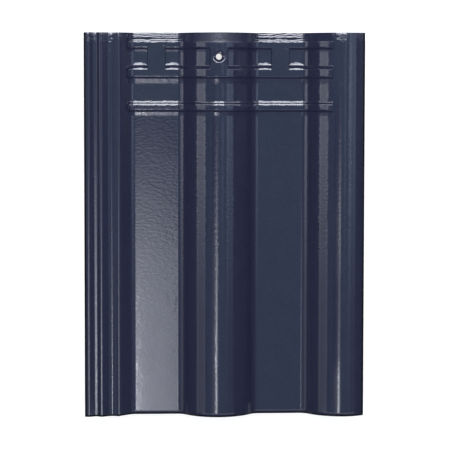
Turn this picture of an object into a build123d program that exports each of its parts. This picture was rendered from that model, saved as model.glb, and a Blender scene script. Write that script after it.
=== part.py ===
from build123d import *
import math
import os

# Glazed interlocking roof tile, one pressed and fired piece, lying face up on its nibs and foot lip.
# Millimetres. X runs across the tile to the cover side, Y runs up to the head, Z is up.
# The origin is on the floor under the middle of the tile.

# Body
tile_length = 413.0
first_pan_cut = 1.8
pan_width = 56.0
pan_thickness = 10.0
roll_half_width = 38.5
roll_height = 20.0
corner_radius = 10.0
edge_radius = 2.0

# Side lock on the left edge, from the outside in, heights above the pan
rib_height = 11.2
outer_rib_width = 8.2
notch_slope = 2.5
notch_floor_width = 3.0
notch_depth = 1.8
inner_rib_width = 5.0
channel_slope = 4.8
channel_width = 8.4
channel_height = 7.2
kerb_draft = 0.8
kerb_width = 5.6
kerb_height = 8.8
kerb_slope = 10.2
lock_thickness = 6.0
lock_radius = 2.0
kerb_inner_radius = 0.6

# Gaps left for the neighbours: over the ribs of the next lock, and beside it
lock_clearance = 0.6
side_clearance = 0.4
lip_side_gap = 1.5

# Weather bars across the head, places measured from the head edge
bar_height = 2.5
bar_radius = 1.0
head_bar_start = 5.6
head_bar_slope = 2.6
head_bar_top = 8.2
middle_bar_start = 33.2
middle_bar_slope = 6.4
middle_bar_top = 7.8
last_bar_start = 71.3
last_bar_slope = 3.2
last_bar_top = 8.5
bar_wall_draft = 2.5
land_height = 2.3
land_width = 19.0
land_draft = 1.4
head_bevel_length = 6.0
head_bevel_drop = 1.7

# Nail hole in the crest of the first roll
nail_hole_diameter = 6.5
nail_sink_diameter = 14.5
nail_from_head = 25.8

# Foot and underside
foot_radius = 4.5
lock_foot_radius = 2.0
foot_depth = 10.0
lip_thickness = 10.0
nib_width = 30.0
nib_length = 14.0
nib_from_head = 36.0
nib_draft = 8.0
under_radius = 3.0

# Places worked out from the sizes, measured from the left edge
rib_top_end = outer_rib_width
notch_start = rib_top_end + notch_slope
notch_end = notch_start + notch_floor_width
inner_rib_start = notch_end + notch_slope
inner_rib_end = inner_rib_start + inner_rib_width
channel_start = inner_rib_end + channel_slope
channel_end = channel_start + channel_width
kerb_start = channel_end + kerb_draft
kerb_end = kerb_start + kerb_width
lock_width = kerb_end + kerb_slope
roll_pitch = pan_width + 2 * roll_half_width
cover_width = 2 * roll_pitch
first_pan_width = pan_width - first_pan_cut
first_crest = lock_width + first_pan_width + roll_half_width
second_crest = first_crest + roll_pitch
tile_width = cover_width + channel_end - side_clearance
pan_centres = (first_crest - roll_pitch / 2, first_crest + roll_pitch / 2)
pan_top = pan_thickness + foot_depth
below_all = -2 * pan_top

# Each roll is one arc; its hollow is an arc about the same centre
roll_radius = (roll_half_width**2 + roll_height**2) / (2 * roll_height)
roll_centre = roll_height - roll_radius
hollow_radius = roll_radius - pan_thickness
hollow_half_width = math.sqrt(hollow_radius**2 - (roll_centre + pan_thickness) ** 2)


def roll_top(offset):
    """Height of a roll's arc at a distance across from its crest."""
    return roll_centre + math.sqrt(roll_radius**2 - offset**2)


def hollow_top(offset):
    """Height of the hollow under a roll at a distance across from its crest."""
    return roll_centre + math.sqrt(hollow_radius**2 - offset**2)


def rounded(sketch, corners, radius):
    """The sketch with the corners nearest to these points rounded."""
    for corner in corners:
        vertex = sketch.vertices().sort_by_distance((corner[0], corner[1], 0))[0]
        sketch = fillet(vertex, radius)
    return sketch


def strip(start, end):
    """An upright strip of the section between two places across the tile."""
    return Pos((start + end) / 2, 0) * Rectangle(end - start, -4 * below_all)


def at_head(sketch, distance, lift=0.0):
    """A section set upright at a distance from the head edge and lifted by some height."""
    plane = Plane.XZ.offset(distance - tile_length / 2)
    return plane * Pos(-tile_width / 2, pan_top + lift) * sketch


def along(sketch, start, end, lift=0.0):
    """A section carried straight down the tile from one distance from the head edge to another."""
    return extrude(at_head(sketch, start, lift), end - start)


def carried(sketch, path):
    """A section carried, kept upright, along a path of distances down the tile and lifts."""
    return sweep(at_head(sketch, *path[0]), path=path[1], normal=(0, 1, 0))


def step_path(steps, radius):
    """A path through steps of (distance from the head edge, lift) with rounded turns."""
    points = [(0, tile_length / 2 - distance, lift) for distance, lift in steps]
    return steps[0], FilletPolyline(*points, radius=radius)


def turn_path(radius):
    """A path that turns down in a quarter round to the foot edge."""
    foot = -tile_length / 2
    slant = radius * math.sqrt(0.5)
    arc = ThreePointArc((0, foot + radius, 0), (0, foot + radius - slant, slant - radius), (0, foot, -radius))
    return (tile_length - radius, 0), arc


# The lock's top outline, the pans and the rolls, filled down to below everything
lock_outline = [
    (0, rib_height),
    (rib_top_end, rib_height),
    (notch_start, rib_height - notch_depth),
    (notch_end, rib_height - notch_depth),
    (inner_rib_start, rib_height),
    (inner_rib_end, rib_height),
    (channel_start, channel_height),
    (channel_end, channel_height),
    (kerb_start, kerb_height),
    (kerb_end, kerb_height),
    (lock_width, 0),
]
first_roll = [
    (first_crest - roll_half_width, 0),
    (first_crest, roll_height),
    (first_crest + roll_half_width, 0),
]
cover_edge = (tile_width, roll_top(tile_width - second_crest))
second_roll = [(second_crest - roll_half_width, 0), (second_crest, roll_height), cover_edge]
filled = make_face(
    Polyline(*lock_outline, first_roll[0])
    + ThreePointArc(*first_roll)
    + Line(first_roll[2], second_roll[0])
    + ThreePointArc(*second_roll)
    + Polyline(cover_edge, (tile_width, below_all), (0, below_all), (0, rib_height))
)
filled = rounded(filled, lock_outline[0:7], lock_radius)
filled = rounded(filled, lock_outline[7:9], kerb_inner_radius)
filled = rounded(filled, lock_outline[9:10], lock_radius)
filled = rounded(filled, [lock_outline[10], first_roll[0], first_roll[2], second_roll[0]], corner_radius)
filled = rounded(filled, [cover_edge], edge_radius)

# The underside: a step under the lock, flat pans and a hollow under each roll
lock_under = channel_height - lock_thickness
under_slope_end = kerb_start + (lock_under + pan_thickness) * kerb_slope / kerb_height
hollow_end = cover_width + outer_rib_width / 2
hollow_mid = (second_crest - hollow_half_width + hollow_end) / 2
underside = make_face(
    Polyline(
        (-edge_radius, lock_under),
        (kerb_start, lock_under),
        (under_slope_end, -pan_thickness),
        (first_crest - hollow_half_width, -pan_thickness),
    )
    + ThreePointArc(
        (first_crest - hollow_half_width, -pan_thickness),
        (first_crest, roll_height - pan_thickness),
        (first_crest + hollow_half_width, -pan_thickness),
    )
    + Line(
        (first_crest + hollow_half_width, -pan_thickness),
        (second_crest - hollow_half_width, -pan_thickness),
    )
    + ThreePointArc(
        (second_crest - hollow_half_width, -pan_thickness),
        (hollow_mid, hollow_top(hollow_mid - second_crest)),
        (hollow_end, hollow_top(hollow_end - second_crest)),
    )
    + Polyline(
        (hollow_end, hollow_top(hollow_end - second_crest)),
        (hollow_end, 2 * below_all),
        (-edge_radius, 2 * below_all),
        (-edge_radius, lock_under),
    )
)
underside = rounded(
    underside,
    [
        (kerb_start, lock_under),
        (under_slope_end, -pan_thickness),
        (first_crest - hollow_half_width, -pan_thickness),
        (first_crest + hollow_half_width, -pan_thickness),
        (second_crest - hollow_half_width, -pan_thickness),
    ],
    under_radius,
)

# The cover side is shaped by the next tile's lock, one cover width over and a clearance up
next_lock = make_face(
    Polyline(
        (-side_clearance, 2 * below_all),
        (-side_clearance, rib_height),
        *lock_outline[1:7],
        (channel_end + edge_radius, channel_height),
        (channel_end + edge_radius, 2 * below_all),
        close=True,
    )
)
next_lock = rounded(next_lock, lock_outline[1:7], lock_radius)
section = filled - underside - Pos(cover_width, lock_clearance) * next_lock
section = rounded(section, [(0, lock_under), (tile_width, channel_height + lock_clearance)], edge_radius / 2)

# The foot lip reaches down to the tile below, between the locks of the course below
lip_start = tile_width - cover_width + lip_side_gap
lip_end = cover_width - lip_side_gap
lip = (filled - Pos(0, -pan_top) * filled) & strip(lip_start, lip_end)
foot_section = section + lip

# Body, with the foot's top edge rounded more on the pans and rolls than on the lock
split = (kerb_start + kerb_end) / 2
lock_side = strip(-edge_radius, split)
cover_side = strip(split, tile_width + edge_radius)
tile = along(section, 0, tile_length - lip_thickness)
for side, radius in ((lock_side, lock_foot_radius), (cover_side, foot_radius)):
    foot_side = foot_section & side
    tile += along(foot_side, tile_length - lip_thickness, tile_length - radius)
    tile += along(foot_side, tile_length - radius, tile_length) & carried(filled & side, turn_path(radius))

# Weather bars: the skin of the pans and rolls carried up and over, from the kerb to the second roll
bar_strip = strip(kerb_end + kerb_slope / 2, cover_width - lip_side_gap)
skin = (filled - Pos(0, -2 * bar_height) * filled) & bar_strip
sunk = bar_height / 2
bars = [
    (head_bar_start, head_bar_slope, head_bar_top),
    (middle_bar_start, middle_bar_slope, middle_bar_top),
    (last_bar_start, last_bar_slope, last_bar_top),
]
for start, slope, top in bars:
    wall = start + slope + top
    steps = [
        (start - slope * sunk / bar_height, -sunk),
        (start + slope, bar_height),
        (wall, bar_height),
        (wall + bar_wall_draft * (1 + sunk / bar_height), -sunk),
    ]
    tile += carried(skin, step_path(steps, bar_radius))

# Lands that part the pockets between the first two bars: on each pan and on the first roll's crest
land_start = head_bar_start + head_bar_slope + head_bar_top / 2
land_end = middle_bar_start + middle_bar_slope + middle_bar_top / 2
land_bottom = land_width / 2 + 3 * land_draft
land_top = land_width / 2 - land_draft
for centre, height in ((pan_centres[0], 0), (first_crest, roll_height), (pan_centres[1], 0)):
    wedge = Polyline(
        (centre - land_bottom, height - 2 * land_height),
        (centre + land_bottom, height - 2 * land_height),
        (centre + land_top, height + 2 * land_height),
        (centre - land_top, height + 2 * land_height),
        close=True,
    )
    land = (Pos(0, land_height) * filled) & make_face(wedge)
    edges = [(centre - land_width / 2, height + land_height), (centre + land_width / 2, height + land_height)]
    tile += along(rounded(land, edges, bar_radius), land_start, land_end)

# Bevel along the head edge, over the same stretch as the bars
bevel_over = head_bevel_drop / head_bevel_length
space = (Pos(0, 2 * pan_thickness) * filled - filled) & bar_strip
bevel = [(-1, -head_bevel_drop - bevel_over), (head_bevel_length + 1, bevel_over)]
bevel_line = Line(*[(0, tile_length / 2 - distance, lift) for distance, lift in bevel])
tile -= carried(space, (bevel[0], bevel_line))

# Hanging nibs under the pans, with an upright face to the batten
hook = tile_length / 2 - nib_from_head
nib_side = Plane.YZ * make_face(
    Polyline(
        (hook, 0),
        (hook + nib_length - foot_depth * math.tan(math.radians(nib_draft)), 0),
        (hook + nib_length, foot_depth),
        (hook, foot_depth),
        close=True,
    )
)
nib = extrude(nib_side, nib_width / 2, both=True)
nib = fillet(nib.faces().sort_by(Axis.Z)[0].edges(), edge_radius)
for centre in pan_centres:
    tile += Pos(centre - tile_width / 2, 0, 0) * nib

# Nail hole, countersunk from the land on the first roll
nail_x = first_crest - tile_width / 2
nail_y = tile_length / 2 - nail_from_head
nail_z = pan_top + roll_height + land_height
tile -= Pos(nail_x, nail_y, nail_z) * CounterSinkHole(
    nail_hole_diameter / 2,
    nail_sink_diameter / 2,
    2 * pan_thickness,
    90,
)

os.makedirs("parts", exist_ok=True)
export_step(tile, "parts/roof_tile.step")
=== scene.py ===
import math

import bmesh
import bpy
from mathutils import Matrix, Vector, noise


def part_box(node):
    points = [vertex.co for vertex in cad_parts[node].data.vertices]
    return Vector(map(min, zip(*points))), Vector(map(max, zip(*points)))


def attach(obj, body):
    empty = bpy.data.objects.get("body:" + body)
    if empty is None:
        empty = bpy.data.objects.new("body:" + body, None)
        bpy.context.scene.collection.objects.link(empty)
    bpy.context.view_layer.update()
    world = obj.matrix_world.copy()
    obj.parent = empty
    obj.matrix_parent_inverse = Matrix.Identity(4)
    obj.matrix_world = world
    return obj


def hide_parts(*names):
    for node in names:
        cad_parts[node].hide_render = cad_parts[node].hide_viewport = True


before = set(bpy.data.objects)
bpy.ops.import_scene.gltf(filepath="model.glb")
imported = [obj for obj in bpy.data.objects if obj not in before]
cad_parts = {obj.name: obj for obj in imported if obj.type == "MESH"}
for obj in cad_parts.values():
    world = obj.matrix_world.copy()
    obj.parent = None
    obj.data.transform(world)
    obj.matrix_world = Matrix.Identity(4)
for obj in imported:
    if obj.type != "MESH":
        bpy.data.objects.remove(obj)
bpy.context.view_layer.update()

low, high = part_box("roof_tile")

# Sizes in millimetres. Places across run from the left edge, places along run from the head edge,
# and heights are above the pans.
tile_width = (high[0] - low[0]) * 1000
tile_length = (high[1] - low[1]) * 1000
pan_thickness = 10.0
foot_depth = 10.0
pan_top = pan_thickness + foot_depth

# Pans and rolls: each roll is one arc that runs into the pans through a hollow round
pan_width = 52.4
roll_reach = 40.3
roll_half_width = 38.0
roll_height = 20.0
roll_foot_radius = 13.5
roll_foot_crease = 5.0
kerb_foot_radius = 10.0
cover_edge_radius = 2.0
cover_lift = 0.67
cover_lift_start = 263.5
cover_lift_draft = 18.0
under_radius = 3.0
roll_pitch = pan_width + 2 * roll_reach
cover_width = 2 * roll_pitch
roll_radius = (roll_half_width**2 + roll_height**2) / (2 * roll_height)
roll_centre = roll_height - roll_radius
foot_centre = roll_foot_radius * math.cos(math.radians(roll_foot_crease))
foot_inset = roll_foot_radius * math.sin(math.radians(roll_foot_crease))
roll_foot = math.sqrt((roll_radius + roll_foot_radius) ** 2 - (foot_centre - roll_centre) ** 2)
roll_angle = math.degrees(math.asin(roll_foot / (roll_radius + roll_foot_radius)))
hollow_radius = roll_radius - pan_thickness
hollow_half_width = math.sqrt(hollow_radius**2 - (roll_centre + pan_thickness) ** 2)
hollow_angle = math.degrees(math.asin(hollow_half_width / hollow_radius))

# Side lock, from the left edge in: two ribs with a notch between them, a channel and a kerb
rib_height = 11.2
notch_height = 8.6
channel_height = 7.2
kerb_height = 8.8
rib_end = 8.2
notch_start = 10.7
notch_end = 13.7
inner_rib_start = 16.2
inner_rib_end = 21.2
channel_start = 26.0
channel_end = 34.4
kerb_start = 35.2
kerb_end = 40.8
lock_width = 51.0
lock_under = 1.2
lock_clearance = 0.6
under_slope_end = 48.2
first_crest = lock_width + pan_width + roll_reach
second_crest = first_crest + roll_pitch
pan_centres = (lock_width + pan_width / 2, lock_width + pan_width / 2 + roll_pitch)

# Relief pressed into the head: a rippled ledge, three weather bars, and lands that part the pockets
# between the first two bars
bar_height = 2.49
head_bevel_drop = 1.7
ledge_lift = -0.45
ledge_length = 5.7
ripple_height = 0.05
ripple_length = 2.2
ripple_end = 9.6
ripple_wander = 0.8
ripple_wander_across = 7.0
ripple_wander_along = 9.0
roll_chamfer_drop = 0.4
land_height = bar_height
land_half_width = 9.5
land_draft = 0.8
crest_land_draft = 1.0
land_start = 12.0
land_end = 44.0
ramp_start = 30.0
ramp_end = 39.6
ramp_arch = 2.6
ramp_half_width = 8.3
ramp_on_rolls = 5.7
ramp_fade = 5.0
pan_edge_blend = 3.0
bar_left = 46.0
bar_right = cover_width - 0.8
bar_end_draft = 0.5
edge_drop = 0.28
edge_length = 1.4
ridge_wander = 0.35
ridge_wander_across = 5.0
ridge_wander_along = 11.0
relief_end = 96.0

# Nail hole through the crest of the first roll, with the square patch of the face made again round it
nail_from_head = 25.8
nail_radius = 3.25
sink_radius = 7.25
nail_patch = 8.6
nail_rim = 0.5
dish_width = 1.7

# Painted shade on the outer edges, the rubbed line on the cover roll and the dull head of the first roll,
# in metres from the middle of the tile as the material takes them
edge_margin = 0.0024
edge_fade = 0.0004
rub_centre = 0.1205
rub_half_width = 0.0065
rub_ends = ((-0.162, -0.142), (0.01, -0.07))
dull_centre = (first_crest - tile_width / 2) / 1000
dull_half_width = 0.04
dull_head = (0.1945, 0.1965)
rough_head_start = (0.194, 0.197)
smooth_foot_start = (-0.11, -0.01)

# Foot and underside
foot_radius = 4.5
lock_foot_radius = 2.0
lip_thickness = 10.0
lip_left = tile_width - cover_width + 1.5
lip_right = cover_width - 1.5
nib_half_width = 15.0
nib_length = 14.0
nib_from_head = 36.0
nib_taper = 1.4
nib_edge_radius = 2.0
end_face_depth = 0.1
sharp_angle = 42.0


def soft_step(value):
    """A soft step from 0 to 1 as value goes from 0 to 1."""
    value = min(max(value, 0.0), 1.0)
    return value * value * (3 - 2 * value)


def between(places, values, place):
    """The value at a place, in a straight line between the two listed places beside it."""
    for i in range(1, len(places)):
        if place <= places[i]:
            share = (place - places[i - 1]) / max(places[i] - places[i - 1], 1e-9)
            return values[i - 1] + min(max(share, 0.0), 1.0) * (values[i] - values[i - 1])
    return values[-1]


def step_to(bm, vert, x, z):
    """Draws a straight step of an outline and returns its far end."""
    new = bmesh.ops.extrude_vert_indiv(bm, verts=[vert])["verts"][0]
    new.co = (x, 0, z)
    return new


def arc_about(bm, vert, x, z, degrees, steps):
    """Draws an arc of an outline about a centre and returns its far end."""
    swept = bmesh.ops.spin(
        bm, geom=[vert], cent=(x, 0, z), axis=(0, 1, 0), angle=math.radians(degrees), steps=steps
    )
    return next(g for g in swept["geom_last"] if isinstance(g, bmesh.types.BMVert))


def round_corner(bm, vert, radius, segments):
    """Rounds one corner of a flat outline to a radius."""
    a, b = [(e.other_vert(vert).co - vert.co).normalized() for e in vert.link_edges]
    turn = math.pi - a.angle(b)
    bmesh.ops.bevel(
        bm,
        geom=[vert],
        offset=radius * math.tan(turn / 2),
        offset_type="OFFSET",
        segments=segments,
        profile=0.5,
        affect="VERTICES",
        material=-1,
        clamp_overlap=True,
    )


def fill_outline(bm, first, last):
    """Joins the two ends of an outline and fills it with one face."""
    bm.edges.new((last, first))
    bmesh.ops.contextual_create(bm, geom=bm.edges[:])


def press_relief():
    """The relief along the head as (distance from the head edge, lift) points with rounded corners."""
    # Each corner is (distance from the head edge, lift, radius), from the ledge over the three bars
    corners = [
        (ledge_length, ledge_lift, 0.6),
        (6.4, bar_height - 0.7, 0.4),
        (9.6, bar_height, 10.0),
        (16.4, bar_height, 3.2),
        (18.0, 0.25, 0.8),
        (20.6, 0.0, 5.0),
        (32.9, 0.0, 15.0),
        (34.6, 0.38, 0.4),
        (37.6, bar_height - 0.27, 0.4),
        (38.8, bar_height, 9.5),
        (47.4, bar_height, 3.2),
        (49.1, 0.6, 0.8),
        (54.4, 0.0, 18.0),
        (73.6, 0.0, 11.3),
        (75.1, 0.34, 0.4),
        (75.7, bar_height - 0.34, 0.4),
        (77.25, bar_height, 12.0),
        (83.0, bar_height, 3.2),
        (84.7, 0.5, 0.8),
        (88.6, 0.0, 12.0),
    ]
    bm = bmesh.new()
    first = vert = bm.verts.new((0, 0, -head_bevel_drop))
    rounded = []
    for along, lift, radius in corners:
        vert = step_to(bm, vert, along, lift)
        rounded.append((vert, radius))
    vert = step_to(bm, vert, relief_end, 0)
    vert = step_to(bm, vert, relief_end, -pan_top)
    vert = step_to(bm, vert, 0, -pan_top)
    fill_outline(bm, first, vert)
    for vert, radius in rounded:
        round_corner(bm, vert, radius, 6 if radius > 4 else 4 if radius > 1 else 2)
    points = sorted((v.co.x, v.co.z) for v in bm.verts if v.co.z > -pan_thickness)
    bm.free()
    return [p[0] for p in points], [p[1] for p in points]


def bar_share(x):
    """How much of the relief there is at a place across: all on the pans and rolls, none on the locks."""
    return soft_step((x - bar_left) / bar_end_draft) * soft_step((bar_right - x) / bar_end_draft)


def roll_share(x):
    """0 on the pans and 1 beside them."""
    off_pan = min(abs(x - centre) for centre in pan_centres) - pan_width / 2
    return soft_step(off_pan / pan_edge_blend)


def ramp_setback(x):
    """How much later the ramp at the foot of a pocket starts, so that it is arched across each pan."""
    pocket = (pan_width / 2 + land_half_width) / 2
    near = min(abs(abs(x - centre) - pocket) for centre in pan_centres)
    on_roll = roll_share(x)
    return (1 - on_roll) * ramp_arch * min(near / ramp_half_width, 1.0) ** 2 + on_roll * ramp_on_rolls


def land_share(x):
    """1 on the lands that part the pockets and 0 in the pockets."""
    near, draft = min(
        (abs(x - pan_centres[0]), land_draft),
        (abs(x - pan_centres[1]), land_draft),
        (abs(x - first_crest), crest_land_draft),
    )
    return soft_step((land_half_width + draft / 2 - near) / draft)


def foot_drop(along, radius):
    """How far the quarter round at the foot drops the face."""
    past = max(along - (tile_length - radius), 0.0)
    return radius - math.sqrt(max(radius**2 - past**2, 0.0))


def top_lift(x, along):
    """How far the press lifts the face off the plain section at a place."""
    setback = 0.0
    if ramp_start < along < ramp_end:
        setback = ramp_setback(x) * soft_step((ramp_end - along) / ramp_fade)
    if along > ledge_length:
        place = Vector((x / ridge_wander_across, along / ridge_wander_along, 3.0))
        setback += ridge_wander * noise.noise(place)
    lift = between(relief_along, relief_lift, along - setback)
    if land_start < along < land_end:
        lift += max(land_height - lift, 0.0) * land_share(x)
    if along < ripple_end:
        place = Vector((x / ripple_wander_across, along / ripple_wander_along, 0.0))
        turn = along / ripple_length + ripple_wander * noise.noise(place)
        lift += ripple_height * soft_step(ripple_end - along) * math.sin(2 * math.pi * turn)
        chamfer = bar_height - (bar_height + roll_chamfer_drop) * (1 - along / ripple_end)
        lift += roll_share(x) * (chamfer - lift)
    share = bar_share(x)
    lift = lift * share - edge_drop * (1 - share) * max(1 - along / edge_length, 0.0)
    lift += cover_lift * soft_step((x - cover_lift_start) / cover_lift_draft)
    inside = soft_step((x - kerb_start) / (kerb_end - kerb_start))
    lift -= inside * foot_drop(along, foot_radius)
    return lift - (1 - inside) * foot_drop(along, lock_foot_radius)


def tile_section(bm):
    """The tile's section as one upright face at the head edge, with its underside marked."""
    under = bm.verts.layers.float.new("under")
    # Each corner of the lock is (place across, height, radius); the small differences in height tilt
    # the faces by a degree or two, which sets what they mirror
    lock = [
        (0, rib_height - 1.0, 1.6),
        (3.9, rib_height, 3.0),
        (5.6, rib_height - 0.07, 3.0),
        (notch_start, notch_height + 0.1, 1.4),
        (notch_end, notch_height, 1.4),
        (17.2, rib_height, 2.4),
        (19.2, rib_height - 0.07, 2.4),
        (channel_start, channel_height + 0.4, 2.0),
        (28.7, channel_height + 0.05, 10.0),
        (30.4, channel_height, 10.0),
        (channel_end, channel_height + 0.7, 0.6),
        (kerb_start, kerb_height - 0.15, 0.5),
        (36.3, kerb_height, 2.0),
        (37.6, kerb_height - 0.03, 3.0),
        (kerb_end, kerb_height - 1.6, 3.0),
        (lock_width, 0, kerb_foot_radius),
    ]
    # The cover side's underside follows the ribs of the next tile's lock
    next_ribs = [
        (channel_start, channel_height),
        (inner_rib_end, rib_height),
        (inner_rib_start, rib_height),
        (notch_end, notch_height),
        (notch_start, notch_height),
        (rib_end, rib_height),
        (0, rib_height),
    ]
    rounded = []
    first = vert = bm.verts.new((0, 0, lock_under))
    for x, z, radius in lock:
        vert = step_to(bm, vert, x, z)
        rounded.append((vert, radius, 5))
    cover_angle = math.degrees(math.asin((tile_width - second_crest) / roll_radius))
    for crest, end_angle in ((first_crest, roll_angle), (second_crest, cover_angle)):
        sweep = roll_angle - roll_foot_crease
        vert = step_to(bm, vert, crest - roll_foot + foot_inset, 0)
        vert = arc_about(bm, vert, crest - roll_foot, foot_centre, -1, 1)
        vert = arc_about(bm, vert, crest - roll_foot, foot_centre, 1 - sweep, 8)
        roll_sweep = roll_angle + end_angle
        vert = arc_about(bm, vert, crest, roll_centre, roll_sweep, round(roll_sweep / 3))
        if crest == first_crest:
            vert = arc_about(bm, vert, crest + roll_foot, foot_centre, 1 - sweep, 8)
            vert = arc_about(bm, vert, crest + roll_foot, foot_centre, -1, 1)
    rounded.append((vert, cover_edge_radius, 5))
    glazed = set(bm.verts) - {first}
    vert = step_to(bm, vert, tile_width, channel_height + lock_clearance)
    rounded.append((vert, 1.0, 3))
    for x, z in next_ribs:
        vert = step_to(bm, vert, cover_width + x, z + lock_clearance)
        rounded.append((vert, 1.2, 2))
    cover_side = math.degrees(math.asin((cover_width - second_crest) / hollow_radius))
    cover_top = roll_centre + hollow_radius * math.cos(math.radians(cover_side))
    vert = step_to(bm, vert, cover_width, cover_top)
    vert = arc_about(bm, vert, second_crest, roll_centre, -(hollow_angle + cover_side), 10)
    rounded.append((vert, under_radius, 3))
    vert = step_to(bm, vert, first_crest + hollow_half_width, -pan_thickness)
    rounded.append((vert, under_radius, 3))
    vert = arc_about(bm, vert, first_crest, roll_centre, -2 * hollow_angle, 20)
    rounded.append((vert, under_radius, 3))
    for x, z in ((under_slope_end, -pan_thickness), (kerb_start, lock_under)):
        vert = step_to(bm, vert, x, z)
        rounded.append((vert, under_radius, 3))
    for v in bm.verts:
        v[under] = 0.0 if v in glazed else 1.0
    fill_outline(bm, first, vert)
    rounded.append((first, 1.0, 3))
    for vert, radius, segments in rounded:
        round_corner(bm, vert, radius, segments)


def draw_out(bm, rows):
    """Draws the section out down the tile, one row at a time, closed at both ends."""
    head = cap = bm.faces[:]
    last_row = rows[0]
    for row in rows[1:]:
        drawn = bmesh.ops.extrude_face_region(bm, geom=cap)["geom"]
        if cap is not head:
            bmesh.ops.delete(bm, geom=cap, context="FACES_ONLY")
        verts = [g for g in drawn if isinstance(g, bmesh.types.BMVert)]
        bmesh.ops.translate(bm, verts=verts, vec=(0, last_row - row, 0))
        cap = [g for g in drawn if isinstance(g, bmesh.types.BMFace)]
        last_row = row


def cut_columns(bm, columns):
    """Cuts lines down the tile at places across it."""
    for x in columns:
        geom = bm.verts[:] + bm.edges[:] + bm.faces[:]
        bmesh.ops.bisect_plane(bm, geom=geom, dist=0.0005, plane_co=(x, 0, 0), plane_no=(1, 0, 0))


def press_face(bm):
    """Presses the relief and the foot's round into the upper face."""
    under = bm.verts.layers.float["under"]
    for v in bm.verts:
        x, along = v.co.x, -v.co.y
        if v[under] > 0.5:
            continue
        # Cuts across the roll's flat facets go back on to its circle
        for crest in (first_crest, second_crest):
            if abs(x - crest) < 0.7 * roll_foot and v.co.z > roll_height / 3:
                v.co.z = roll_centre + math.sqrt(roll_radius**2 - (x - crest) ** 2)
        v.co.z += top_lift(x, along)


def under_faces(bm, left, right, start, end):
    """The faces of the underside inside a rectangle."""
    under = bm.verts.layers.float["under"]
    found = []
    for f in bm.faces:
        centre = f.calc_center_median()
        inside = left < centre.x < right and start < -centre.y < end
        if inside and all(v[under] > 0.5 for v in f.verts) and abs(f.normal.y) < 0.9:
            found.append(f)
    return found


def push_down(bm, faces):
    """Draws faces of the underside out and returns the new verts and the faces that close them."""
    drawn = bmesh.ops.extrude_face_region(bm, geom=faces)["geom"]
    bmesh.ops.delete(bm, geom=faces, context="FACES")
    verts = [g for g in drawn if isinstance(g, bmesh.types.BMVert)]
    return verts, [g for g in drawn if isinstance(g, bmesh.types.BMFace)]


def hang_lip(bm, top_x, top_z):
    """Draws the foot lip down to the face of the tile below."""
    verts, _ = push_down(bm, under_faces(bm, lip_left, lip_right, tile_length - lip_thickness, tile_length))
    for v in verts:
        v.co.z = between(top_x, top_z, v.co.x) - pan_top


def hang_nib(bm, centre):
    """Draws a hanging nib down from under a pan and rounds its free edges."""
    start = nib_from_head - nib_length
    faces = under_faces(bm, centre - nib_half_width, centre + nib_half_width, start, nib_from_head)
    verts, ends = push_down(bm, faces)
    for v in verts:
        v.co.z = -pan_top
        if -v.co.y < start + 0.01:
            v.co.y -= nib_taper
    rim = [e for e in bm.edges if sum(f in ends for f in e.link_faces) == 1]
    bmesh.ops.bevel(
        bm,
        geom=rim,
        offset=nib_edge_radius,
        offset_type="OFFSET",
        segments=3,
        profile=0.5,
        affect="EDGES",
        material=-1,
        clamp_overlap=True,
    )


def nail_ring(bm, segments, radius, height):
    """A ring round the nail hole. Its height hangs on the place across and the share toward the head."""
    place = Matrix.Translation((first_crest, -nail_from_head, 0))
    verts = bmesh.ops.create_circle(bm, segments=segments, radius=radius, matrix=place)["verts"]
    for v in verts:
        v.co.z = height(v.co.x - first_crest, (v.co.y + nail_from_head) / radius)
    return list({e for v in verts for e in v.link_edges})


def open_nail_hole(bm):
    """Opens the nail hole through the roll, with its countersink and rounded rims."""
    under = bm.verts.layers.float["under"]
    rims = {0: set(), 1: set()}
    gone = []
    for f in bm.faces:
        centre = f.calc_center_median()
        if abs(centre.x - first_crest) < nail_patch and abs(-centre.y - nail_from_head) < nail_patch:
            gone.append(f)
            side = 1 if f.verts[0][under] > 0.5 else 0
            rims[side] |= set(f.edges)
    inside = set(gone)
    for side in rims:
        rims[side] = [e for e in rims[side] if not all(f in inside for f in e.link_faces)]
    segments = len(rims[0])
    bmesh.ops.delete(bm, geom=gone, context="FACES")
    crown = roll_height + land_height

    def on_face(x, headward):
        return roll_centre + math.sqrt(roll_radius**2 - x**2) + land_height

    def on_hollow(x, headward):
        return roll_centre + math.sqrt(hollow_radius**2 - x**2)

    def dished(low_side, high_side):
        """A ring pressed deeper on the head side than on the foot side."""
        return lambda x, headward: (
            on_face(x, headward) - low_side - (high_side - low_side) * soft_step((headward + 1) / 2)
        )

    def sunk(depth):
        return lambda x, headward: crown - depth

    # From the face in: a dish, a cone down to the bore, and the bore's lower rim
    cone_depth = sink_radius - nail_radius - dish_width
    rings = [
        rims[0],
        nail_ring(bm, segments, sink_radius - 0.4, on_face),
        nail_ring(bm, segments, sink_radius - 0.8, dished(0.03, 0.3)),
        nail_ring(bm, segments, sink_radius - 1.3, dished(0.1, 0.85)),
        nail_ring(bm, segments, sink_radius - 1.8, dished(0.21, 1.3)),
        nail_ring(bm, segments, sink_radius - 2.1, dished(0.5, 1.5)),
        nail_ring(bm, segments, nail_radius + nail_rim, sunk(cone_depth - nail_rim)),
        nail_ring(bm, segments, nail_radius + 0.15, sunk(cone_depth)),
        nail_ring(bm, segments, nail_radius, sunk(cone_depth + nail_rim)),
        nail_ring(bm, segments, nail_radius, lambda x, headward: on_hollow(x, headward) + nail_rim),
        nail_ring(bm, segments, nail_radius + nail_rim, on_hollow),
        rims[1],
    ]
    for i in range(len(rings) - 1):
        bmesh.ops.bridge_loops(bm, edges=rings[i] + rings[i + 1])


relief_along, relief_lift = press_relief()


def steps_between(start, end, count):
    """Even steps from start to end, both included."""
    return [start + (end - start) * i / count for i in range(count + 1)]


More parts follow.
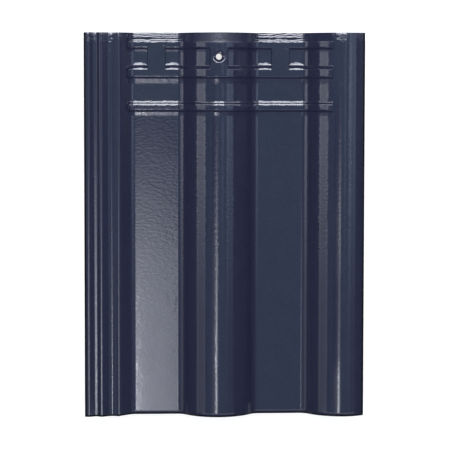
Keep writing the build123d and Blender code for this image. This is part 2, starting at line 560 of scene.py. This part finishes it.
def glazed_roof_tile():
    """The whole tile, pressed and fired as one piece."""
    rows = set(relief_along)
    rows |= set(steps_between(0.0, ledge_length - 0.3, 16))
    rows |= set(steps_between(ledge_length + 1.1, ripple_end, 8))
    rows |= set(steps_between(nail_from_head - nail_patch, nail_from_head + nail_patch, 12))
    rows |= {nib_from_head - nib_length, nib_from_head}
    rows |= set(steps_between(relief_end, tile_length - lip_thickness, 24))
    for radius in (lock_foot_radius, foot_radius):
        rows |= {tile_length - radius + radius * math.sin(math.radians(a)) for a in range(0, 91, 10)}
        rows.add(tile_length - radius - 0.4)
    rows = sorted(rows)
    rows = [rows[0]] + [b for a, b in zip(rows, rows[1:]) if b - a > 0.02]
    rows[-1] = tile_length

    columns = set(steps_between(first_crest - nail_patch, first_crest + nail_patch, 12))
    columns |= set(steps_between(bar_left, bar_left + bar_end_draft, 3))
    columns |= set(steps_between(bar_right - bar_end_draft, bar_right, 3))
    lands = ((pan_centres[0], land_draft), (first_crest, crest_land_draft), (pan_centres[1], land_draft))
    for centre, draft in lands:
        for side in (-1, 1):
            middle = centre + side * land_half_width
            columns |= set(steps_between(middle - draft / 2, middle + draft / 2, 4))
    for centre in pan_centres:
        columns |= set(steps_between(centre - pan_width / 2 + 4, centre + pan_width / 2 - 4, 24))
        columns |= {centre - nib_half_width, centre + nib_half_width}
    columns |= {lip_left, lip_right}
    columns |= set(steps_between(cover_lift_start, cover_lift_start + cover_lift_draft, 10))

    bm = bmesh.new()
    tile_section(bm)
    under = bm.verts.layers.float["under"]
    top = sorted((v.co.x, v.co.z) for v in bm.verts if v[under] < 0.5)
    draw_out(bm, rows)
    cut_columns(bm, sorted(columns))
    bmesh.ops.recalc_face_normals(bm, faces=bm.faces[:])
    hang_lip(bm, [p[0] for p in top], [p[1] for p in top])
    for centre in pan_centres:
        hang_nib(bm, centre)
    press_face(bm)
    open_nail_hole(bm)
    bmesh.ops.remove_doubles(bm, verts=bm.verts[:], dist=0.002)
    bmesh.ops.recalc_face_normals(bm, faces=bm.faces[:])
    for f in bm.faces:
        f.smooth = True
        share = sum(v[under] for v in f.verts) / len(f.verts)
        along = -f.calc_center_median().y
        end_face = along < end_face_depth or along > tile_length - end_face_depth
        f.material_index = 1 if share > 0.6 and not end_face else 0
    bmesh.ops.translate(bm, verts=bm.verts[:], vec=(-tile_width / 2, tile_length / 2, pan_top))
    bmesh.ops.scale(bm, verts=bm.verts[:], vec=(0.001, 0.001, 0.001))
    mesh = bpy.data.meshes.new("glazed_roof_tile")
    bm.to_mesh(mesh)
    bm.free()
    mesh.set_sharp_from_angle(angle=math.radians(sharp_angle))
    tile = bpy.data.objects.new("glazed_roof_tile", mesh)
    bpy.context.scene.collection.objects.link(tile)
    even = tile.modifiers.new("even normals", "WEIGHTED_NORMAL")
    even.mode = "FACE_AREA"
    even.weight = 60
    even.keep_sharp = True
    return tile


def linear(hex_colour):
    """An sRGB hex colour as linear values."""
    values = [int(hex_colour[i : i + 2], 16) / 255 for i in (1, 3, 5)]
    return [v / 12.92 if v <= 0.04045 else ((v + 0.055) / 1.055) ** 2.4 for v in values] + [1.0]


def node(tree, kind, settings=None, **inputs):
    """Adds a node with its settings, and gives each input a value or a link from another node's output."""
    new = tree.nodes.new("ShaderNode" + kind)
    for name, value in (settings or {}).items():
        setattr(new, name, value)
    for name, value in inputs.items():
        key = int(name[1:]) if name[0] == "i" and name[1:].isdigit() else name.replace("_", " ")
        socket = new.inputs[key]
        if isinstance(value, bpy.types.NodeSocket):
            tree.links.new(value, socket)
        else:
            socket.default_value = value
    return new


def new_material(name):
    """An empty node material with its output."""
    material = bpy.data.materials.new(name)
    material.use_nodes = True
    material.node_tree.nodes.clear()
    return material, material.node_tree, node(material.node_tree, "OutputMaterial")


def per_mm(size):
    """The scale at which a pattern on Object coordinates repeats about once in a size in millimetres."""
    return 1000.0 / size


def glossy_blue_glaze():
    """Fired glaze over pressed clay: a hard mirror coat with orange peel, dark navy underneath."""
    material, tree, output = new_material("fired navy glaze")
    place = node(tree, "TexCoord").outputs["Object"]
    axis = node(tree, "SeparateXYZ", Vector=place).outputs
    # Orange peel a little over 2 mm long, drawn out across the tile, on slow waves; colour pools and specks
    drawn = node(tree, "VectorMath", {"operation": "MULTIPLY"}, i0=place, i1=(0.5, 1.0, 1.0))
    peel = node(tree, "TexNoise", Vector=drawn.outputs[0], Scale=per_mm(2.3), Detail=3.0, Roughness=0.5)
    waves = node(tree, "TexNoise", Vector=place, Scale=per_mm(28.0), Detail=1.0, Roughness=0.4)
    pools = node(tree, "TexNoise", Vector=place, Scale=per_mm(16.0), Detail=3.0, Roughness=0.6)
    specks = node(tree, "TexNoise", Vector=place, Scale=per_mm(1.3), Detail=1.0, Roughness=0.5)
    # The glaze lies a little thicker and deeper blue in patches, and is finely speckled
    pool = pools.outputs["Fac"]
    speck = specks.outputs["Fac"]
    colour = node(tree, "MixRGB", Fac=pool, Color1=linear("#1e202f"), Color2=linear("#23263a"))
    speckled = node(tree, "MapRange", Value=speck, From_Min=0.58, From_Max=0.75, To_Max=0.45).outputs[0]
    colour = node(tree, "MixRGB", Fac=speckled, Color1=colour.outputs[0], Color2=linear("#33374c"))
    # A near-black, matt band along the side and foot edges is painted shade on the glaze
    side = node(tree, "Math", {"operation": "ABSOLUTE"}, i0=axis["X"])
    side_edge = tile_width / 2000 - edge_margin
    foot_edge = edge_margin - tile_length / 2000
    painted_edge_shade = node(tree, "MapRange", Value=side.outputs[0], From_Min=side_edge, From_Max=side_edge + edge_fade)
    painted_foot_shade = node(tree, "MapRange", Value=axis["Y"], From_Min=foot_edge, From_Max=foot_edge - edge_fade)
    painted_edge_shade = node(tree, "Math", {"operation": "MAXIMUM"}, i0=painted_edge_shade.outputs[0], i1=painted_foot_shade.outputs[0])
    colour = node(tree, "MixRGB", Fac=painted_edge_shade.outputs[0], Color1=colour.outputs[0], Color2=linear("#0d0d11"))
    gloss = node(tree, "MapRange", Value=pool, From_Min=0.3, From_Max=0.7, To_Min=0.05, To_Max=0.085)
    # The crest of the cover roll is rubbed a little dull by the tiles stacked on it
    off_crest = node(tree, "Math", {"operation": "SUBTRACT"}, i0=axis["X"], i1=rub_centre)
    off_crest = node(tree, "Math", {"operation": "ABSOLUTE"}, i0=off_crest.outputs[0])
    rubbed = node(
        tree, "MapRange", Value=off_crest.outputs[0], From_Min=rub_half_width, From_Max=rub_half_width / 2
    )
    for rub_end, rub_full in rub_ends:
        reach = node(tree, "MapRange", Value=axis["Y"], From_Min=rub_end, From_Max=rub_full)
        rubbed = node(tree, "Math", {"operation": "MULTIPLY"}, i0=rubbed.outputs[0], i1=reach.outputs[0])
    dulled = node(tree, "MapRange", Value=rubbed.outputs[0], To_Max=0.05)
    gloss = node(tree, "Math", {"operation": "ADD"}, i0=gloss.outputs[0], i1=dulled.outputs[0])
    shine = node(tree, "MapRange", Value=rubbed.outputs[0], To_Min=0.5, To_Max=0.17)
    # The band of painted edge shade is also made matt and barely shiny
    shine = node(tree, "MapRange", Value=painted_edge_shade.outputs[0], To_Min=shine.outputs[0], To_Max=0.06)
    matt_edge = node(tree, "MapRange", Value=painted_edge_shade.outputs[0], To_Max=0.5)
    gloss = node(tree, "Math", {"operation": "ADD"}, i0=gloss.outputs[0], i1=matt_edge.outputs[0])
    # The head's edge is thinly glazed and dull on the first roll
    off_roll = node(tree, "Math", {"operation": "SUBTRACT"}, i0=axis["X"], i1=dull_centre)
    off_roll = node(tree, "Math", {"operation": "ABSOLUTE"}, i0=off_roll.outputs[0]).outputs[0]
    half = dull_half_width
    thin = node(tree, "MapRange", Value=off_roll, From_Min=half, From_Max=half / 2, To_Max=0.3)
    at_head = node(tree, "MapRange", Value=axis["Y"], From_Min=dull_head[0], From_Max=dull_head[1])
    thin = node(tree, "Math", {"operation": "MULTIPLY"}, i0=thin.outputs[0], i1=at_head.outputs[0])
    gloss = node(tree, "Math", {"operation": "ADD"}, i0=gloss.outputs[0], i1=thin.outputs[0])
    # The skin ran smooth toward the foot and is roughest on the head's ledge
    skin = peel
    for (start, end), low, high in ((smooth_foot_start, 0.3, 1.0), (rough_head_start, 1.0, 1.8)):
        relief = node(
            tree, "MapRange", Value=axis["Y"], From_Min=start, From_Max=end, To_Min=low, To_Max=high
        )
        skin = node(tree, "Math", {"operation": "MULTIPLY"}, i0=skin.outputs[0], i1=relief.outputs[0])
    peel_bump = node(tree, "Bump", Height=skin.outputs[0], Strength=1.0, Distance=0.00012)
    bump = node(
        tree,
        "Bump",
        Height=waves.outputs["Fac"],
        Normal=peel_bump.outputs["Normal"],
        Strength=1.0,
        Distance=0.0001,
    )
    shader = node(
        tree,
        "BsdfPrincipled",
        Base_Color=colour.outputs[0],
        Roughness=gloss.outputs[0],
        Specular_IOR_Level=shine.outputs[0],
        IOR=1.5,
        Normal=bump.outputs["Normal"],
    )
    tree.links.new(shader.outputs["BSDF"], output.inputs["Surface"])
    return material


def bare_fired_clay():
    """Bare pressed clay: buff red and matt, with sand grain, dark grog and paler patches from the kiln."""
    material, tree, output = new_material("bare pressed clay")
    place = node(tree, "TexCoord").outputs["Object"]
    grain = node(tree, "TexNoise", Vector=place, Scale=per_mm(1.2), Detail=4.0, Roughness=0.6)
    patches = node(tree, "TexNoise", Vector=place, Scale=per_mm(45.0), Detail=4.0, Roughness=0.6)
    grog = node(tree, "TexNoise", Vector=place, Scale=per_mm(2.5), Detail=2.0, Roughness=0.5)
    pale = node(tree, "MapRange", Value=patches.outputs["Fac"], From_Min=0.35, From_Max=0.65)
    colour = node(tree, "MixRGB", Fac=pale.outputs[0], Color1=linear("#9a5d40"), Color2=linear("#b0765a"))
    dark = node(tree, "MapRange", Value=grog.outputs["Fac"], From_Min=0.64, From_Max=0.7, To_Max=0.6)
    colour = node(tree, "MixRGB", Fac=dark.outputs[0], Color1=colour.outputs[0], Color2=linear("#6b4130"))
    dull = node(tree, "MapRange", Value=grain.outputs["Fac"], To_Min=0.78, To_Max=0.95)
    bump = node(tree, "Bump", Height=grain.outputs["Fac"], Strength=0.3, Distance=0.0005)
    shader = node(
        tree,
        "BsdfPrincipled",
        Base_Color=colour.outputs[0],
        Roughness=dull.outputs[0],
        IOR=1.5,
        Normal=bump.outputs["Normal"],
    )
    tree.links.new(shader.outputs["BSDF"], output.inputs["Surface"])
    return material


def pale_floor():
    """A white studio floor that keeps the tile's shadow."""
    bm = bmesh.new()
    bmesh.ops.create_grid(bm, x_segments=1, y_segments=1, size=4.0)
    mesh = bpy.data.meshes.new("floor")
    bm.to_mesh(mesh)
    bm.free()
    material, tree, output = new_material("white floor")
    light = node(tree, "LightPath").outputs
    seen = node(
        tree, "Math", {"operation": "MAXIMUM"}, i0=light["Is Camera Ray"], i1=light["Is Transmission Ray"]
    )
    matt = node(tree, "BsdfDiffuse", Color=linear("#a8a8a8"))
    glow = node(tree, "Emission", Color=linear("#ffffff"), Strength=0.8)
    both = node(tree, "AddShader", i0=matt.outputs[0], i1=glow.outputs[0])
    mixed = node(tree, "MixShader", Fac=seen.outputs[0], i1=matt.outputs[0], i2=both.outputs[0])
    tree.links.new(mixed.outputs[0], output.inputs["Surface"])
    mesh.materials.append(material)
    floor = bpy.data.objects.new("floor", mesh)
    bpy.context.scene.collection.objects.link(floor)


def set_ramp(ramp, stops):
    """Gives a colour ramp its stops, each a place and a colour."""
    elements = ramp.color_ramp.elements
    for i, (at, colour) in enumerate(stops):
        element = elements.new(at) if i > 1 else elements[-i]
        element.position = at
        element.color = list(colour) + [1.0]


even_stops = ((0.0, 1.0), (1.0, 1.0))


def soft_card(name, centre, size, tilt, along_stops, across_stops=even_stops, tint="#f2f5ff"):
    """A lit card that the glaze mirrors. The stops are (share along or across it, strength)."""
    bm = bmesh.new()
    bmesh.ops.create_grid(bm, x_segments=1, y_segments=1, size=0.5)
    bmesh.ops.scale(bm, verts=bm.verts[:], vec=(size[0], size[1], 1))
    mesh = bpy.data.meshes.new(name)
    bm.to_mesh(mesh)
    bm.free()
    material, tree, output = new_material(name)
    place = node(tree, "SeparateXYZ", Vector=node(tree, "TexCoord").outputs["Object"]).outputs
    strongest = 1.0
    glow = linear(tint)
    for axis, length, stops in (("Y", size[1], along_stops), ("X", size[0], across_stops)):
        share = node(tree, "MapRange", Value=place[axis], From_Min=-length / 2, From_Max=length / 2)
        ramp = node(tree, "ValToRGB", Fac=share.outputs[0])
        peak = max(strength for _, strength in stops)
        set_ramp(ramp, [(at, [strength / peak] * 3) for at, strength in stops])
        strongest *= peak
        glow = node(
            tree, "MixRGB", {"blend_type": "MULTIPLY"}, Fac=1.0, Color1=ramp.outputs[0], Color2=glow
        ).outputs[0]
    light = node(tree, "Emission", Color=glow, Strength=strongest)
    tree.links.new(light.outputs[0], output.inputs["Surface"])
    mesh.materials.append(material)
    card = bpy.data.objects.new(name, mesh)
    card.location = centre
    card.rotation_euler = tilt
    card.visible_camera = False
    bpy.context.scene.collection.objects.link(card)


def studio_light():
    """Plain soft light: a grey room, cards over the foot, at both sides and at the head, and a broad fill."""
    world = bpy.data.worlds.new("studio")
    bpy.context.scene.world = world
    world.use_nodes = True
    tree = world.node_tree
    tree.nodes.clear()
    seen = node(tree, "LightPath").outputs["Is Camera Ray"]
    upward = node(tree, "SeparateXYZ", Vector=node(tree, "TexCoord").outputs["Generated"]).outputs["Z"]
    room = node(tree, "ValToRGB", Fac=upward)
    # The room goes from dark at the sides to pale overhead. In every list of stops the two ends come first
    dark, dim, pale = (0.08, 0.08, 0.09), (0.12, 0.13, 0.15), (0.32, 0.46, 0.54)
    ceiling, overhead = (0.33, 0.47, 0.56), (0.33, 0.62, 0.62)
    stops = [(0.0, dark), (1.0, overhead), (0.75, dim), (0.95, pale), (0.9962, ceiling), (0.9978, overhead)]
    set_ramp(room, stops)
    shade = node(tree, "Background", Color=room.outputs["Color"])
    white = node(tree, "Background", Color=linear("#ffffff"))
    sky = node(tree, "MixShader", Fac=seen, i1=shade.outputs[0], i2=white.outputs[0])
    node(tree, "OutputWorld", Surface=sky.outputs[0])

    # The wide soft sheen that fades up the first pan, and the bright line on the roll crests
    sheen_along = [
        (0.0, 6.1), (1.0, 0.45), (0.17, 6.0), (0.454, 5.2),
        (0.567, 4.6), (0.681, 3.4), (0.794, 2.2), (0.937, 0.9),
    ]
    sheen_across = [
        (0.0, 0.04), (1.0, 0.55), (0.25, 0.13), (0.53, 0.26),
        (0.65, 0.42), (0.69, 1.1), (0.753, 1.0), (0.957, 0.74),
    ]
    soft_card("card_over_foot", (-0.245, -0.25, 1.5), (0.47, 0.70), (0, 0, 0), sheen_along, sheen_across)
    soft_card(
        "bright_strip_over_foot",
        (-0.151, -0.40, 1.49),
        (0.03, 0.42),
        (0, 0, 0),
        [(0.0, 36.0), (1.0, 4.0), (0.3, 32.0), (0.55, 28.0), (0.75, 11.0)],
    )
    # The flanks of the rolls and the lock's ribs mirror the cards at the sides
    soft_card(
        "card_at_left",
        (-4.41, -0.5, 4.07),
        (2.62, 2.4),
        (0, math.radians(-47.3), 0),
        [(0.0, 0.7), (1.0, 2.2), (0.381, 0.8), (0.558, 1.6), (0.796, 2.2)],
        [(0.0, 1.35), (1.0, 1.35), (0.14, 1.3), (0.2, 1.0), (0.8, 1.0), (0.86, 1.3)],
    )
    soft_card(
        "card_at_right",
        (3.2, -0.5, 5.09),
        (1.8, 2.4),
        (0, math.radians(32), 0),
        [(0.0, 0.4), (1.0, 2.0), (0.3, 0.5), (0.45, 0.95), (0.6, 1.4), (0.75, 1.75)],
        [(0.0, 1.6), (1.0, 1.1), (0.22, 1.6), (0.3, 0.9), (0.8, 0.9), (0.86, 1.1)],
        "#c8dcf8",
    )
    soft_card(
        "low_card_at_right",
        (3.76, 0.35, 1.37),
        (2.8, 1.2),
        (0, math.radians(70), 0),
        [(0.0, 0.02), (1.0, 0.45), (0.35, 0.32)],
    )
    soft_card(
        "narrow_card_at_right",
        (0.32, 0.0, 1.5),
        (0.108, 0.8),
        (0, 0, 0),
        [(0.0, 0.5), (1.0, 1.4), (0.25, 0.7), (0.5, 1.5)],
        tint="#c8dcf8",
    )
    # The bars' slopes mirror the cards at the head, and their far edges the one at the foot
    soft_card(
        "card_at_head",
        (0.045, 0.66, 1.5),
        (0.78, 0.587),
        (0, 0, 0),
        [(0.0, 17.0), (1.0, 17.0)],
        [(0.0, 1.0), (1.0, 1.0), (0.42, 1.0), (0.45, 0.5), (0.55, 0.5), (0.58, 1.0)],
    )
    soft_card(
        "long_card_at_head",
        (0.0, 0.66, 1.52),
        (6.0, 0.42),
        (0, 0, 0),
        [(0.0, 3.5), (1.0, 3.5)],
    )
    soft_card(
        "long_card_at_foot",
        (0.0, -0.86, 1.5),
        (3.0, 0.42),
        (0, 0, 0),
        [(0.0, 2.0), (1.0, 2.0)],
    )
    lamp = bpy.data.lights.new("broad fill", "AREA")
    lamp.shape = "RECTANGLE"
    lamp.size = 2.4
    lamp.size_y = 2.4
    lamp.energy = 5.0
    fill = bpy.data.objects.new("broad fill", lamp)
    fill.location = (-0.3, -0.2, 2.4)
    fill.visible_glossy = False
    fill.visible_camera = False
    bpy.context.scene.collection.objects.link(fill)


def photo_camera():
    """The camera over the head, looking straight down on the tile."""
    lens = bpy.data.cameras.new("camera")
    lens.sensor_width = 36.0
    lens.lens = 129.29
    lens.shift_y = -0.12
    lens.clip_start = 0.01
    camera = bpy.data.objects.new("camera", lens)
    camera.location = (-0.0668, 0.1561, 1.7566)
    camera.rotation_euler = (-0.05637, -0.03894, 0.0011)
    bpy.context.scene.collection.objects.link(camera)
    bpy.context.scene.camera = camera


tile = glazed_roof_tile()
tile.data.materials.append(glossy_blue_glaze())
tile.data.materials.append(bare_fired_clay())
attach(tile, "root")
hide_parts("roof_tile")

pale_floor()
studio_light()
photo_camera()
bpy.context.scene.view_settings.view_transform = "Standard"
